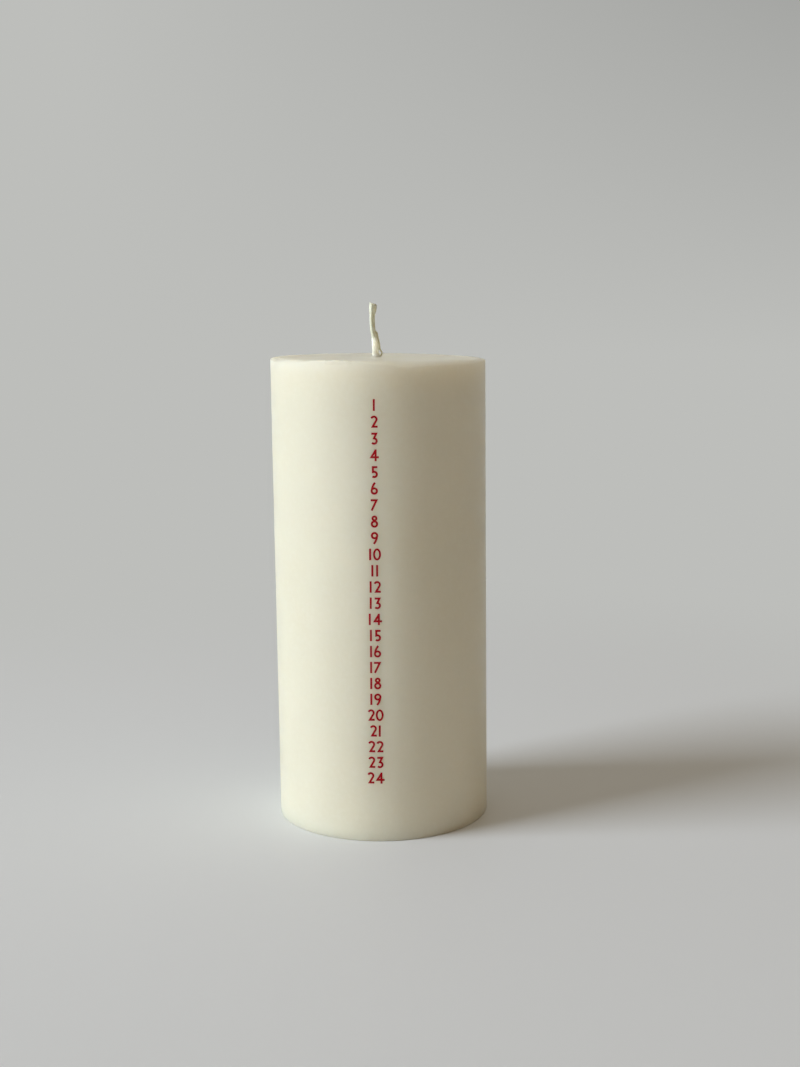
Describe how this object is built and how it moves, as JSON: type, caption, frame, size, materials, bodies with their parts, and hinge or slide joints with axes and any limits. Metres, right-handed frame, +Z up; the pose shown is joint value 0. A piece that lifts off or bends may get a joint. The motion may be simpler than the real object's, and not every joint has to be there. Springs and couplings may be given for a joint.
{
  "type": "calendar candle",
  "caption": "Cream pillar candle with a printed column of day numbers down its side, burnt one division a day to count down the days.",
  "frame": {"origin": "middle of the foot, on the surface that the candle stands on", "axes": "+Z up along the candle's axis, -Y towards the printed numbers, +X to the right of someone reading them"},
  "size_m": [0.07, 0.0701, 0.1697],
  "materials": {
    "core_wax": "cast paraffin wax, matte",
    "hard_wax": "dipped hard wax, ivory, satin, slightly translucent",
    "wick_wax": "thin coat of the dipping wax, crinkled",
    "cotton": "braided cotton, primed with wax",
    "tinplate": "bright tinplate",
    "red_ink": "dark red printed film, satin"
  },
  "bodies": {
    "root": {"wax_core": "core_wax", "overdip_skin": "hard_wax", "wick_wax": "wick_wax", "wick": "cotton", "wick_tab": "tinplate", "number_01": "red_ink", "number_02": "red_ink", "number_03": "red_ink", "number_04": "red_ink", "number_05": "red_ink", "number_06": "red_ink", "number_07": "red_ink", "number_08": "red_ink", "number_09": "red_ink", "number_10": "red_ink", "number_11": "red_ink", "number_12": "red_ink", "number_13": "red_ink", "number_14": "red_ink", "number_15": "red_ink", "number_16": "red_ink", "number_17": "red_ink", "number_18": "red_ink", "number_19": "red_ink", "number_20": "red_ink", "number_21": "red_ink", "number_22": "red_ink", "number_23": "red_ink", "number_24": "red_ink"}
  },
  "joints": []
}
